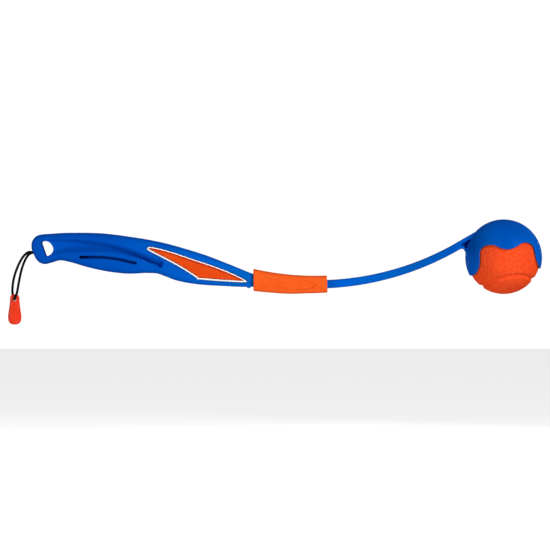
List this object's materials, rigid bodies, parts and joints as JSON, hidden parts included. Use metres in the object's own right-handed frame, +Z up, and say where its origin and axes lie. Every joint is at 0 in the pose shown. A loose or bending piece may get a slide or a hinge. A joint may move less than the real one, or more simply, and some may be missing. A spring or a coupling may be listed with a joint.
{
  "type": "dog ball thrower",
  "caption": "Folding dog ball thrower: moulded handle, sleeve-locked hinge, springy curved arm with a clawed cup, grooved rubber ball and cord loop with pull tab.",
  "frame": {"origin": "middle of the hand grip, half way through its thickness", "axes": "+X along the thrower from the grip towards the ball, +Z up as it is held, +Y away from the badge side"},
  "size_m": [0.4686, 0.0656, 0.0923],
  "materials": {
    "blue_polypropylene": "moulded, satin",
    "steel_pin": "plain drawn",
    "orange_rubber": "moulded, satin",
    "ball_rubber": "moulded, finely textured",
    "badge_white": "smooth",
    "badge_orange": "smooth",
    "black_cord": "twisted",
    "red_tab": "moulded, satin"
  },
  "bodies": {
    "handle": {"handle": "blue_polypropylene", "badge_backing": "badge_white", "badge_panel": "badge_orange", "hinge_pin": "steel_pin", "lanyard_cord": "black_cord", "lanyard_knot": "black_cord", "pull_tab": "red_tab"},
    "arm": {"throwing_arm": "blue_polypropylene"},
    "sleeve": {"lock_sleeve": "orange_rubber"},
    "ball": {"ball": "ball_rubber"}
  },
  "joints": [
    {"name": "arm_fold", "type": "hinge", "parent": "handle", "child": "arm", "pos_m": [0.1358, 0, -0.02499], "axis": [0, 1, 0], "range_deg": [0, 155]},
    {"name": "sleeve_slide", "type": "hinge", "parent": "arm", "child": "sleeve", "pos_m": [0.17824, 0, 0.22331], "axis": [0, -1, 0], "range_deg": [0, 17.2]},
    {"name": "ball_release", "type": "slide", "parent": "arm", "child": "ball", "axis": [0.0802, 0, -0.9968], "range_m": [0, 0.046]}
  ],
  "couplings": [
    {"joint": "sleeve_slide", "follows": "arm_fold", "ratio": 0.1105}
  ]
}
